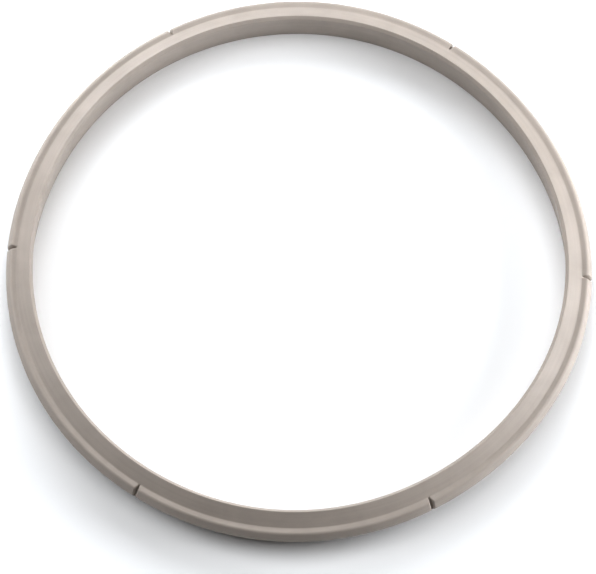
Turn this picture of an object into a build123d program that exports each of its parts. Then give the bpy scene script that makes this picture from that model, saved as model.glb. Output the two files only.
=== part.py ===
from build123d import *
import os
from math import cos, radians, sin, tan

# Sealing ring for the lid of a stovetop pressure cooker: one moulding in silicone rubber.
#
# Frame: millimetres, +Z up. The origin is on the ring's axis, in the plane that the foot stands on.
# The section is drawn in the XZ plane (X is the radius) and turned once about Z.
#
#            top edge
#             /\__  band
#     throat |    \__ crease
#     edge   |      \_/\  bead
#            |  ___    |  land, the widest place
#     wall   | |   \__/   nose
#            | |  groove, open outwards
#            | |____
#            |______|  foot

# --- Overall sizes -----------------------------------------------------------------------------
outer_diameter = 228.0       # across the bead's land
overall_height = 17.2        # from the foot's face to the top edge, before rounding

# --- Upper lip: what lies above the groove -----------------------------------------------------
chamfer_width = 1.2          # throat edge to top edge, along the radius
chamfer_height = 1.2         # throat edge to top edge, upwards
band_width = 5.4             # top edge to crease, along the radius
band_fall = 3.45             # top edge to crease, downwards
bead_width = 4.0             # crease to land, along the radius
bead_rise = 0.5              # crease to the bead's peak, upwards, before rounding
flank_width = 1.6            # peak to land, along the radius, before rounding
flank_height = 3.35          # peak to land, downwards, before rounding
lip_thickness = 2.9          # band to the groove's roof, square to the band

# --- Inner wall and foot -----------------------------------------------------------------------
wall_flare = 1.6             # how much further out the wall's face is at the foot than at the throat
web_thickness = 2.6          # wall behind the groove, at the foot
foot_width = 5.35            # foot's face, along the radius, before rounding
foot_thickness = 2.3         # at the foot's outer edge
foot_root_thickness = 3.1    # where the foot meets the web

# --- Pressure-relief notches, cut down and outwards through the bead ---------------------------
notch_count = 6
notch_floor_width = 0.45
notch_floor_fall = 54.0      # degrees below level, outwards
notch_wall_lean = 14.0       # degrees that each wall leans away from the notch's middle
notch_start = 0.1            # from the crease inwards to the notch's inner end

# --- Rounding ----------------------------------------------------------------------------------
throat_edge_radius = 0.12
top_edge_radius = 0.3
crease_radius = 0.5
bead_peak_radius = 1.2
land_edge_radius = 1.2
nose_radius = 1.2
groove_corner_radius = 0.9
foot_edge_radius = 0.5

# --- Places that follow from the sizes ---------------------------------------------------------
land_r = outer_diameter / 2
crease_r = land_r - bead_width
top_edge_r = crease_r - band_width
throat_r = top_edge_r - chamfer_width
foot_inner_r = throat_r + wall_flare
foot_outer_r = foot_inner_r + foot_width
web_r = foot_inner_r + web_thickness

crease_z = overall_height - band_fall
peak_z = crease_z + bead_rise
throat_z = overall_height - chamfer_height
band_slope = band_fall / band_width
lip_depth = lip_thickness * (1 + band_slope**2) ** 0.5   # lip_thickness measured straight down


def roof_z(r):
    """Height of the groove's roof, which runs parallel to the band."""
    return overall_height - (r - top_edge_r) * band_slope - lip_depth


def section():
    """The ring's section on the +X side of the axis, as a face in the XZ plane."""
    # Each corner: radius, height, and the rounding that it gets.
    corners = [
        (foot_inner_r, 0, foot_edge_radius),
        (foot_outer_r, 0, foot_edge_radius),
        (foot_outer_r, foot_thickness, foot_edge_radius),
        (web_r, foot_root_thickness, groove_corner_radius),
        (web_r, roof_z(web_r), groove_corner_radius),
        (land_r, roof_z(land_r), nose_radius),
        (land_r, peak_z - flank_height, land_edge_radius),
        (land_r - flank_width, peak_z, bead_peak_radius),
        (crease_r, crease_z, crease_radius),
        (top_edge_r, overall_height, top_edge_radius),
        (throat_r, throat_z, throat_edge_radius),
    ]
    points = [(r, z) for r, z, _ in corners]
    radii = [rounding for _, _, rounding in corners]
    outline = FilletPolyline(*points, radius=radii, close=True)
    return Plane.XZ * make_face(outline)


def notch_cutter():
    """One notch on the +X side: a tapered channel whose floor falls outwards from the crease."""
    start_r = crease_r - notch_start
    start_z = overall_height - (start_r - top_edge_r) * band_slope
    fall = radians(notch_floor_fall)
    depth = overall_height
    half_floor = notch_floor_width / 2
    half_mouth = half_floor + depth * tan(radians(notch_wall_lean))
    across = Plane(origin=(start_r, 0, start_z), x_dir=(0, 1, 0), z_dir=(cos(fall), 0, -sin(fall)))
    corners = [(-half_floor, 0), (half_floor, 0), (half_mouth, depth), (-half_mouth, depth)]
    outline = make_face(Polyline(*corners, close=True))
    return extrude(across * outline, overall_height, both=True)


def sealing_ring():
    ring = revolve(section(), Axis.Z, 360)
    for number in range(notch_count):
        ring -= Rot(0, 0, number * 360 / notch_count) * notch_cutter()
    return ring


os.makedirs("parts", exist_ok=True)
export_step(sealing_ring(), "parts/sealing_ring.step")
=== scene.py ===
import math

import bpy
import numpy as np
from mathutils import Matrix, Vector


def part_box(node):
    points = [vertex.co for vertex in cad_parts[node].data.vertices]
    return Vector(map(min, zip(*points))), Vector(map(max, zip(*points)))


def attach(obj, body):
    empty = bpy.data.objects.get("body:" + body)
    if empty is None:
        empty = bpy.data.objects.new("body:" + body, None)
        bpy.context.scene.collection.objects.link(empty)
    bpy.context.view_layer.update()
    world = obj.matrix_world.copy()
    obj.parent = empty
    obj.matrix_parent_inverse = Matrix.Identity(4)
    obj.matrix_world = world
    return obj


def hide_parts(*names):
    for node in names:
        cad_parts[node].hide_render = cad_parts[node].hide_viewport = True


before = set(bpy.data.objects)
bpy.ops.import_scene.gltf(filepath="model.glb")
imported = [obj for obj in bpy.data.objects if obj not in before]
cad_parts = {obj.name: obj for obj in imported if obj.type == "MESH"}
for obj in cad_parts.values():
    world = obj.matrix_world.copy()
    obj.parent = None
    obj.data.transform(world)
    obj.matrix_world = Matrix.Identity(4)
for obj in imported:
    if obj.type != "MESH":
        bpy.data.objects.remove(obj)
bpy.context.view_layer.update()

# The sealing ring of a pressure cooker's lid: one silicone moulding, lying on its foot.
# Lengths are in metres and angles in radians. MM turns a size in millimetres into metres.
MM = 0.001
NODE = "sealing_ring"

# --- The moulded section: sizes across the radius and up, as in the CAD model --------------------
_, ring_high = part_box(NODE)
LAND_R = ring_high.y                      # the bead's widest place
CHAMFER_WIDTH = 1.2 * MM                  # throat edge to top edge
CHAMFER_HEIGHT = 1.2 * MM
BAND_WIDTH = 5.4 * MM                     # top edge to crease
BAND_FALL = 3.45 * MM
BEAD_WIDTH = 4.0 * MM                     # crease to land
BEAD_RISE = 0.5 * MM
FLANK_WIDTH = 1.6 * MM                    # bead's peak to land
FLANK_HEIGHT = 3.35 * MM
LIP_THICKNESS = 2.9 * MM                  # band to the groove's roof, square to the band
WALL_FLARE = 1.6 * MM
WEB_THICKNESS = 2.6 * MM
FOOT_WIDTH = 5.35 * MM
FOOT_THICKNESS = 2.3 * MM
FOOT_ROOT_THICKNESS = 3.1 * MM
TOP_EDGE_Z = 17.2 * MM                    # before rounding

THROAT_EDGE_RADIUS = 0.12 * MM
TOP_EDGE_RADIUS = 0.3 * MM
CREASE_RADIUS = 0.5 * MM
BEAD_PEAK_RADIUS = 1.2 * MM
LAND_EDGE_RADIUS = 1.2 * MM
NOSE_RADIUS = 1.2 * MM
GROOVE_CORNER_RADIUS = 0.9 * MM
FOOT_EDGE_RADIUS = 0.5 * MM

CREASE_R = LAND_R - BEAD_WIDTH
TOP_EDGE_R = CREASE_R - BAND_WIDTH
THROAT_R = TOP_EDGE_R - CHAMFER_WIDTH
FOOT_INNER_R = THROAT_R + WALL_FLARE
FOOT_OUTER_R = FOOT_INNER_R + FOOT_WIDTH
WEB_R = FOOT_INNER_R + WEB_THICKNESS
CREASE_Z = TOP_EDGE_Z - BAND_FALL
PEAK_Z = CREASE_Z + BEAD_RISE
BAND_SLOPE = BAND_FALL / BAND_WIDTH
LIP_DEPTH = LIP_THICKNESS * math.hypot(1, BAND_SLOPE)

# --- The notches: tapered channels whose floors fall outwards from the crease ---------------------
NOTCH_COUNT = 6
NOTCH_FLOOR_WIDTH = 0.45 * MM
NOTCH_FLOOR_FALL = math.radians(54)       # below level
NOTCH_WALL_LEAN = math.radians(14)        # away from the notch's middle
NOTCH_START = 0.1 * MM                    # from the crease inwards to the inner end
NOTCH_EDGE_RADIUS = 0.5 * MM
NOTCH_REACH = 1.65 * MM                   # half the stretch of ring that a notch shapes
NOTCH_CLEARANCE = 0.4 * MM                # from that stretch to the nearest plain column
NOTCH_STEP = 0.11 * MM

# --- The loose ring lies slightly out of round: lobes, height over the radius, direction of one ---
LOBES = (
    (2, 0.0040, math.radians(67)),
    (3, 0.0044, math.radians(-13)),
    (4, 0.0024, math.radians(0)),
    (5, 0.0011, math.radians(-9)),
)

# --- How finely the ring is drawn ----------------------------------------------------------------
SECTION_STEP = 0.8 * MM                   # longest edge on a straight run of the section
ARC_STEP = math.radians(14)               # longest turn between points on a rounding
BEAD_MARGIN = 0.9 * MM                    # from the crease inwards to where the bead's run starts
BEAD_POINTS = 56                          # points from the band, round the bead, to the groove's roof
COLUMN_STEP = math.radians(0.75)          # between columns, away from the notches
SHARP_ANGLE = math.radians(50)            # edges that turn more than this stay sharp


def roof_z(r):
    """Height of the groove's roof, which runs parallel to the band."""
    return TOP_EDGE_Z - (r - TOP_EDGE_R) * BAND_SLOPE - LIP_DEPTH


def rounded(corners, closed=True):
    """Points along a polygon whose corners (r, z, radius) are rounded by arcs."""
    path = []
    count = len(corners)
    for i, (r, z, radius) in enumerate(corners):
        here = np.array((r, z))
        if not closed and i in (0, count - 1):
            path.append(here)
            continue
        before = np.array(corners[i - 1][:2]) - here
        after = np.array(corners[(i + 1) % count][:2]) - here
        before /= np.linalg.norm(before)
        after /= np.linalg.norm(after)
        half = math.acos(np.clip(before @ after, -1, 1)) / 2
        middle = (before + after) / np.linalg.norm(before + after)
        centre = here + middle * radius / math.sin(half)
        start = here + before * radius / math.tan(half) - centre
        turn = math.pi - 2 * half
        cross = start[0] * (here - centre)[1] - start[1] * (here - centre)[0]
        steps = max(2, math.ceil(turn / ARC_STEP))
        for k in range(steps + 1):
            a = math.copysign(turn * k / steps, cross)
            path.append(centre + np.array((start[0] * math.cos(a) - start[1] * math.sin(a),
                                           start[0] * math.sin(a) + start[1] * math.cos(a))))
    return np.array(path)


def divided(path, step, closed=False):
    """The same path with its long edges divided."""
    ends = np.roll(path, -1, axis=0) if closed else path[1:]
    out = []
    for a, b in zip(path, ends):
        parts = max(1, math.ceil(np.linalg.norm(b - a) / step))
        out.extend(a + (b - a) * k / parts for k in range(parts))
    if not closed:
        out.append(path[-1])
    return np.array(out)


def resampled(path, count):
    """The path as count points, evenly spaced along it."""
    lengths = np.linalg.norm(np.diff(path, axis=0), axis=1)
    at = np.concatenate(([0], np.cumsum(lengths)))
    want = np.linspace(0, at[-1], count)
    return np.stack([np.interp(want, at, path[:, k]) for k in (0, 1)], axis=1)


# The bead's run starts on the band and ends on the groove's roof, a little inside the crease.
RUN_START_R = CREASE_R - BEAD_MARGIN
RUN_START = (RUN_START_R, TOP_EDGE_Z - (RUN_START_R - TOP_EDGE_R) * BAND_SLOPE, 0)
RUN_END = (RUN_START_R, roof_z(RUN_START_R), 0)


def bead_run():
    """The bead's run, from the band over the bead to the groove's roof."""
    corners = [
        RUN_START,
        (CREASE_R, CREASE_Z, CREASE_RADIUS),
        (LAND_R - FLANK_WIDTH, PEAK_Z, BEAD_PEAK_RADIUS),
        (LAND_R, PEAK_Z - FLANK_HEIGHT, LAND_EDGE_RADIUS),
        (LAND_R, roof_z(LAND_R), NOSE_RADIUS),
        RUN_END,
    ]
    return resampled(rounded(corners, closed=False), BEAD_POINTS)


def notched(run, offset):
    """The bead's run as a notch leaves it, offset along the ring from the notch's middle."""
    start_r = CREASE_R - NOTCH_START
    start = np.array((start_r, TOP_EDGE_Z - (start_r - TOP_EDGE_R) * BAND_SLOPE))
    square = np.array((math.sin(NOTCH_FLOOR_FALL), math.cos(NOTCH_FLOOR_FALL)))
    height = (run - start) @ square
    lean = math.tan(NOTCH_WALL_LEAN)
    beside = abs(offset) - NOTCH_FLOOR_WIDTH / 2
    wall = max(0, beside) / lean
    past_edge = np.clip(beside - height * lean, 0, NOTCH_EDGE_RADIUS)
    edge_drop = NOTCH_EDGE_RADIUS - np.sqrt(NOTCH_EDGE_RADIUS**2 - (NOTCH_EDGE_RADIUS - past_edge) ** 2)
    kept = np.minimum(np.maximum(height - edge_drop, 0), wall)
    return run - np.where(height > 0, height - kept, 0)[:, None] * square


def rest_of_section():
    """The section's other run: from the groove's roof round the foot and up the inner wall."""
    corners = [
        RUN_END,
        (WEB_R, roof_z(WEB_R), GROOVE_CORNER_RADIUS),
        (WEB_R, FOOT_ROOT_THICKNESS, GROOVE_CORNER_RADIUS),
        (FOOT_OUTER_R, FOOT_THICKNESS, FOOT_EDGE_RADIUS),
        (FOOT_OUTER_R, 0, FOOT_EDGE_RADIUS),
        (FOOT_INNER_R, 0, FOOT_EDGE_RADIUS),
        (THROAT_R, TOP_EDGE_Z - CHAMFER_HEIGHT, THROAT_EDGE_RADIUS),
        (TOP_EDGE_R, TOP_EDGE_Z, TOP_EDGE_RADIUS),
        RUN_START,
    ]
    path = divided(rounded(corners, closed=False), SECTION_STEP)
    return path[1:-1]


def columns():
    """The ring's columns in order: a notch's angle and an offset along it, or None and an angle."""
    found = []
    pitch = 2 * math.pi / NOTCH_COUNT
    steps = round(NOTCH_REACH / NOTCH_STEP)
    offsets = np.linspace(-NOTCH_REACH, NOTCH_REACH, 2 * steps + 1)
    clear = (NOTCH_REACH + NOTCH_CLEARANCE) / LAND_R
    plain = np.linspace(clear, pitch - clear, math.ceil((pitch - 2 * clear) / COLUMN_STEP) + 1)
    for number in range(NOTCH_COUNT):
        found += [(number * pitch, offset) for offset in offsets]
        found += [(None, number * pitch + angle) for angle in plain]
    return found


def relaxed(angle):
    """How far the loose ring stands out of round at an angle, as a share of its radius."""
    return sum(height * np.cos(lobes * (angle - peak)) for lobes, height, peak in LOBES)


def ring_mesh():
    """The ring as one closed mesh, column by column."""
    bead = bead_run()
    rest = rest_of_section()
    made = []
    for notch, at in columns():
        run = bead if notch is None else notched(bead, at)
        r, z = np.concatenate((run, rest)).T
        if notch is None:
            x, y = r * math.cos(at), r * math.sin(at)
        else:
            along = np.sqrt(r**2 - at**2)
            x = along * math.cos(notch) - at * math.sin(notch)
            y = along * math.sin(notch) + at * math.cos(notch)
        made.append(np.stack((x, y, z), axis=1))
    points = np.array(made)
    angle = np.arctan2(points[..., 1], points[..., 0])
    points[..., :2] *= (1 + relaxed(angle))[..., None]
    rows, around = points.shape[:2]
    index = np.arange(rows * around).reshape(rows, around)
    right = np.roll(index, -1, axis=0)
    faces = np.stack((index, np.roll(index, -1, axis=1), np.roll(right, -1, axis=1), right), axis=-1)
    mesh = bpy.data.meshes.new("gasket")
    mesh.from_pydata(points.reshape(-1, 3).tolist(), [], faces.reshape(-1, 4).tolist())
    mesh.validate()
    return mesh


def smoothed(mesh):
    """Rounded surfaces shade smoothly, and true corners stay sharp."""
    mesh.shade_smooth()
    mesh.set_sharp_from_angle(angle=SHARP_ANGLE)


# --- Silicone ------------------------------------------------------------------------------------
SILICONE_PALE = (0.440, 0.391, 0.352, 1)
SILICONE_DEEP = (0.375, 0.333, 0.299, 1)
MOTTLE_SIZE = 14 * MM                     # cloudy patches in the rubber
STREAK_LENGTH = 45 * MM                   # flow lines that run round the ring
STREAK_WIDTH = 0.9 * MM
GRAIN_SIZE = 0.35 * MM                    # the mould's fine matt grain
FLOW_RELIEF = 0.05 * MM                   # height of the flow lines
GRAIN_RELIEF = 0.03 * MM                  # height of the grain
ROUGHNESS = 0.58


def add(tree, kind, inputs, **settings):
    """A new node. An input is a plain value, or a socket to link from."""
    made = tree.nodes.new(kind)
    for name, value in settings.items():
        setattr(made, name, value)
    for name, value in inputs.items():
        if isinstance(value, bpy.types.NodeSocket):
            tree.links.new(value, made.inputs[name])
        else:
            made.inputs[name].default_value = value
    return made


def calculate(tree, operation, first, second=0.0):
    made = add(tree, "ShaderNodeMath", {0: first, 1: second}, operation=operation)
    return made.outputs[0]


def swing(tree, value, amount):
    """A noise value about 0.5, turned into a swing about 0."""
    centred = calculate(tree, "SUBTRACT", value, 0.5)
    return calculate(tree, "MULTIPLY", centred, amount)


def streaks(tree, place):
    """Flow lines that follow the ring, with no seam anywhere round it."""
    parts = add(tree, "ShaderNodeSeparateXYZ", {0: place})
    flat = add(tree, "ShaderNodeCombineXYZ", {0: parts.outputs[0], 1: parts.outputs[1], 2: 0.0})
    radius = add(tree, "ShaderNodeVectorMath", {0: flat.outputs[0]}, operation="LENGTH").outputs["Value"]
    around = add(tree, "ShaderNodeCombineXYZ", {
        0: calculate(tree, "DIVIDE", parts.outputs[0], STREAK_LENGTH),
        1: calculate(tree, "DIVIDE", parts.outputs[1], STREAK_LENGTH),
        2: calculate(tree, "DIVIDE", parts.outputs[2], STREAK_WIDTH),
    })
    across = calculate(tree, "DIVIDE", radius, STREAK_WIDTH)
    inputs = {"Vector": around.outputs[0], "W": across, "Scale": 1.0, "Detail": 2.0, "Roughness": 0.5}
    return add(tree, "ShaderNodeTexNoise", inputs, noise_dimensions="4D").outputs["Fac"]


def silicone():
    """Matt warm grey silicone: cloudy, faintly streaked, finely grained, with a painted highlight that
    makes it paler along its sharp convex edges.
    """
    material = bpy.data.materials.new("silicone")
    material.use_nodes = True
    tree = material.node_tree
    shader = tree.nodes["Principled BSDF"]
    place = add(tree, "ShaderNodeTexCoord", {}).outputs["Object"]
    mottle = add(tree, "ShaderNodeTexNoise", {
        "Vector": place, "Scale": 1 / MOTTLE_SIZE, "Detail": 3.0, "Roughness": 0.6, "Distortion": 0.4,
    }).outputs["Fac"]
    grain = add(tree, "ShaderNodeTexNoise", {
        "Vector": place, "Scale": 1 / GRAIN_SIZE, "Detail": 3.0, "Roughness": 0.65,
    }).outputs["Fac"]
    streak = streaks(tree, place)
    # Painted highlight: convex edges, found from the mesh's pointiness, are pushed towards the pale
    # silicone colour to stand in for the light that edges catch.
    bend = add(tree, "ShaderNodeNewGeometry", {}).outputs["Pointiness"]
    edge_highlight = add(tree, "ShaderNodeMapRange", {
        "Value": bend, "From Min": 0.51, "From Max": 0.6, "To Min": 0.0, "To Max": 0.35,
    }).outputs["Result"]

    shade = calculate(tree, "ADD", swing(tree, mottle, 1.3), swing(tree, streak, 0.9))
    shade = calculate(tree, "ADD", shade, swing(tree, grain, 0.5))
    shade = calculate(tree, "ADD", shade, edge_highlight)
    shade = calculate(tree, "ADD", shade, 0.5)
    colour = add(tree, "ShaderNodeMix", {
        "Factor": shade, 6: SILICONE_DEEP, 7: SILICONE_PALE,
    }, data_type="RGBA", clamp_factor=True)
    tree.links.new(colour.outputs[2], shader.inputs["Base Color"])

    gloss = calculate(tree, "ADD", swing(tree, mottle, 0.25), swing(tree, grain, 0.2))
    gloss = calculate(tree, "SUBTRACT", ROUGHNESS, gloss)
    tree.links.new(gloss, shader.inputs["Roughness"])

    flow = add(tree, "ShaderNodeBump", {"Height": streak, "Strength": 0.5, "Distance": FLOW_RELIEF})
    relief = add(tree, "ShaderNodeBump", {
        "Height": grain, "Strength": 0.5, "Distance": GRAIN_RELIEF, "Normal": flow.outputs[0],
    })
    tree.links.new(relief.outputs[0], shader.inputs["Normal"])

    shader.inputs["IOR"].default_value = 1.41
    shader.inputs["Sheen Weight"].default_value = 0.05
    shader.inputs["Sheen Roughness"].default_value = 0.5
    shader.inputs["Subsurface Weight"].default_value = 0.1
    shader.inputs["Subsurface Radius"].default_value = (1.0, 0.8, 0.6)
    shader.inputs["Subsurface Scale"].default_value = 1.5 * MM
    return material


def make_ring():
    mesh = ring_mesh()
    smoothed(mesh)
    mesh.materials.append(silicone())
    ring = bpy.data.objects.new("gasket", mesh)
    bpy.context.scene.collection.objects.link(ring)
    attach(ring, "root")
    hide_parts(NODE)


# --- Camera, floor and light ----------------------------------------------------------------------
VIEW_AZIMUTH = math.radians(1.9)          # the view's turn about the ring's axis, from along +Y
VIEW_ELEVATION = math.radians(66.65)
VIEW_ROLL = math.radians(1.25)
VIEW_DISTANCE = 15.44 * LAND_R
VIEW_AIM = Vector((0.001, -0.041, 0)) * LAND_R
FOCAL_LENGTH = 271.8                      # millimetres, on a 36 mm sensor
ROOM_LIGHT = 0.0                          # the room gives no light of its own
ROOM_SEEN = 0.9                           # how bright its walls look to the camera
FLOOR_HALF = 30 * LAND_R
FLOOR_ALBEDO = 0.9
LAMP_DISTANCE = 0.6
LAMP_SIZE = 0.35
CEILING_DISTANCE = 1.3
CEILING_SIZE = 1.4
TONE_GAMMA = 0.75                         # the picture's contrast
NEUTRAL = (1.0, 1.0, 1.0)                 # lamp colours
COOL = (0.955, 0.985, 1.02)


def from_view(x, y, z):
    """A place given as right of, beyond and above the ring's middle as the camera sees it."""
    return Matrix.Rotation(VIEW_AZIMUTH, 3, "Z") @ Vector((x, y, z))


def make_camera():
    data = bpy.data.cameras.new("camera")
    data.lens = FOCAL_LENGTH
    camera = bpy.data.objects.new("camera", data)
    bpy.context.scene.collection.objects.link(camera)
    aim = from_view(*VIEW_AIM)
    back = from_view(0, -math.cos(VIEW_ELEVATION), math.sin(VIEW_ELEVATION))
    camera.location = aim + back * VIEW_DISTANCE
    facing = (-back).to_track_quat("-Z", "Y").to_matrix()
    camera.rotation_euler = (facing @ Matrix.Rotation(VIEW_ROLL, 3, "Z")).to_euler()
    bpy.context.scene.camera = camera


def make_floor():
    mesh = bpy.data.meshes.new("floor")
    half = FLOOR_HALF
    corners = [(-half, -half, 0), (half, -half, 0), (half, half, 0), (-half, half, 0)]
    mesh.from_pydata(corners, [], [(0, 1, 2, 3)])
    material = bpy.data.materials.new("floor")
    material.use_nodes = True
    shader = material.node_tree.nodes["Principled BSDF"]
    shader.inputs["Base Color"].default_value = (FLOOR_ALBEDO, FLOOR_ALBEDO, FLOOR_ALBEDO, 1)
    shader.inputs["Roughness"].default_value = 0.9
    shader.inputs["Specular IOR Level"].default_value = 0
    mesh.materials.append(material)
    floor = bpy.data.objects.new("floor", mesh)
    bpy.context.scene.collection.objects.link(floor)


def softbox(name, azimuth, elevation, distance, size, power, colour=COOL):
    """A square soft lamp that shines on the ring's middle.

    Angles are in degrees, and azimuth 0 is the view's right and 90 is beyond the ring.
    """
    data = bpy.data.lights.new(name, "AREA")
    data.size = size
    data.energy = power
    data.color = colour
    lamp = bpy.data.objects.new(name, data)
    bpy.context.scene.collection.objects.link(lamp)
    level, up = math.radians(azimuth), math.radians(elevation)
    ahead = (math.cos(up) * math.cos(level), math.cos(up) * math.sin(level), math.sin(up))
    lamp.location = from_view(*ahead) * distance
    lamp.rotation_euler = lamp.location.to_track_quat("Z", "Y").to_euler()
    lamp.visible_camera = False


def make_studio():
    """An unlit room whose walls look pale to the camera."""
    world = bpy.data.worlds.new("studio")
    bpy.context.scene.world = world
    world.use_nodes = True
    tree = world.node_tree
    seen = add(tree, "ShaderNodeLightPath", {}).outputs["Is Camera Ray"]
    strength = add(tree, "ShaderNodeMapRange", {"Value": seen, "To Min": ROOM_LIGHT, "To Max": ROOM_SEEN})
    background = tree.nodes["Background"]
    background.inputs["Color"].default_value = (1, 1, 1, 1)
    tree.links.new(strength.outputs[0], background.inputs["Strength"])


def make_light():
    make_studio()
    softbox("ceiling", 0, 90, CEILING_DISTANCE, CEILING_SIZE, 10.8, NEUTRAL)
    softbox("right_softbox", 0, 15, LAMP_DISTANCE, LAMP_SIZE, 4.8)
    softbox("back_softbox", 90, 38, LAMP_DISTANCE, LAMP_SIZE, 1.95)
    softbox("back_left_softbox", 120, 15, LAMP_DISTANCE, LAMP_SIZE, 2.05)
    softbox("left_softbox", 180, 38, LAMP_DISTANCE, LAMP_SIZE, 1.6)


make_camera()
make_ring()
make_floor()
make_light()
bpy.context.scene.view_settings.view_transform = "Standard"
bpy.context.scene.view_settings.gamma = TONE_GAMMA
